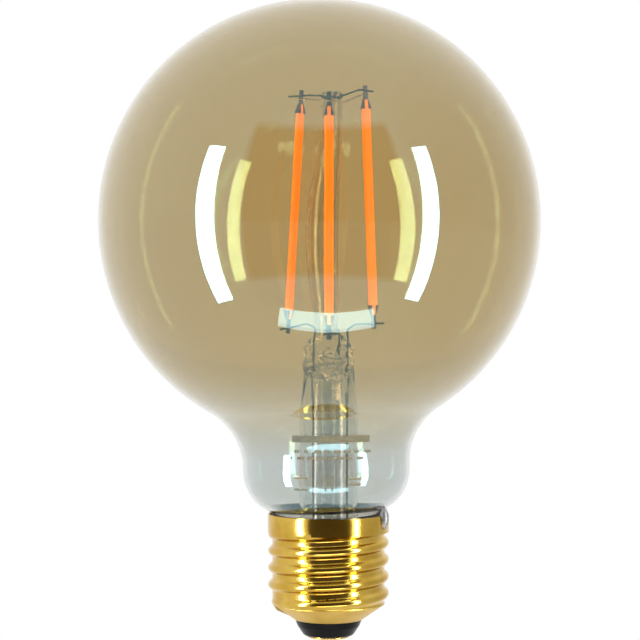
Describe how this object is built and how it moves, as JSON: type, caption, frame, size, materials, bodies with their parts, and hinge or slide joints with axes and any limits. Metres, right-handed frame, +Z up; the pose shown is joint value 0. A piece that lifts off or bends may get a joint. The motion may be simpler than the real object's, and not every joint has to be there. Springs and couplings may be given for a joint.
{
  "type": "globe bulb",
  "caption": "Large round amber glass lamp with LED filaments on a glass stem inside, and a brass Edison screw cap with a black insulator and a centre contact.",
  "frame": {"origin": "the flat lowest face of the solder on the centre contact, on the cap axis", "axes": "+Z up along the cap axis from the contact to the globe, -Y towards the viewer of the picture, +X to the right of the picture"},
  "size_m": [0.0949, 0.095, 0.1375],
  "materials": {
    "glass_globe": "clear, smooth, amber tint that fades out at the neck",
    "stem_glass": "clear, fire polished",
    "cap_brass": "bright rolled brass",
    "contact_brass": "pressed brass",
    "insulator_black": "black, glossy",
    "cement": "rough, dark brown",
    "solder": "dull tin solder",
    "lead_wire": "oxidised nickel iron wire",
    "tie_wire": "bright nickel wire",
    "tab_steel": "stamped nickel plated steel",
    "filament_silicone": "orange phosphor silicone, satin",
    "board": "glass fibre circuit board",
    "package_black": "moulded package",
    "capacitor_can": "drawn can",
    "resistor_coat": "grey fireproof coat"
  },
  "bodies": {
    "root": {"bridge_rectifier": "package_black", "bridge_wire": "lead_wire", "cap_insulator": "insulator_black", "cap_shell": "cap_brass", "capping_cement": "cement", "centre_contact": "contact_brass", "column_button": "stem_glass", "contact_solder": "solder", "driver_board": "board", "driver_chip": "package_black", "exhaust_tube": "stem_glass", "filament_back": "filament_silicone", "filament_front": "filament_silicone", "filament_left": "filament_silicone", "filament_right": "filament_silicone", "foot_tab_back": "tab_steel", "foot_tab_front": "tab_steel", "foot_tab_left": "tab_steel", "foot_tab_right": "tab_steel", "fusible_resistor": "resistor_coat", "glass_column": "stem_glass", "glass_globe": "glass_globe", "head_tab_back": "tab_steel", "head_tab_front": "tab_steel", "head_tab_left": "tab_steel", "head_tab_right": "tab_steel", "lead_wire_left": "lead_wire", "lead_wire_right": "lead_wire", "side_solder": "solder", "smoothing_capacitor": "capacitor_can", "stem_flare": "stem_glass", "supply_wire_contact": "tie_wire", "supply_wire_shell": "tie_wire", "tie_wire_back": "tie_wire", "tie_wire_front": "tie_wire", "top_anchor_left": "lead_wire", "top_anchor_right": "lead_wire"}
  },
  "joints": []
}
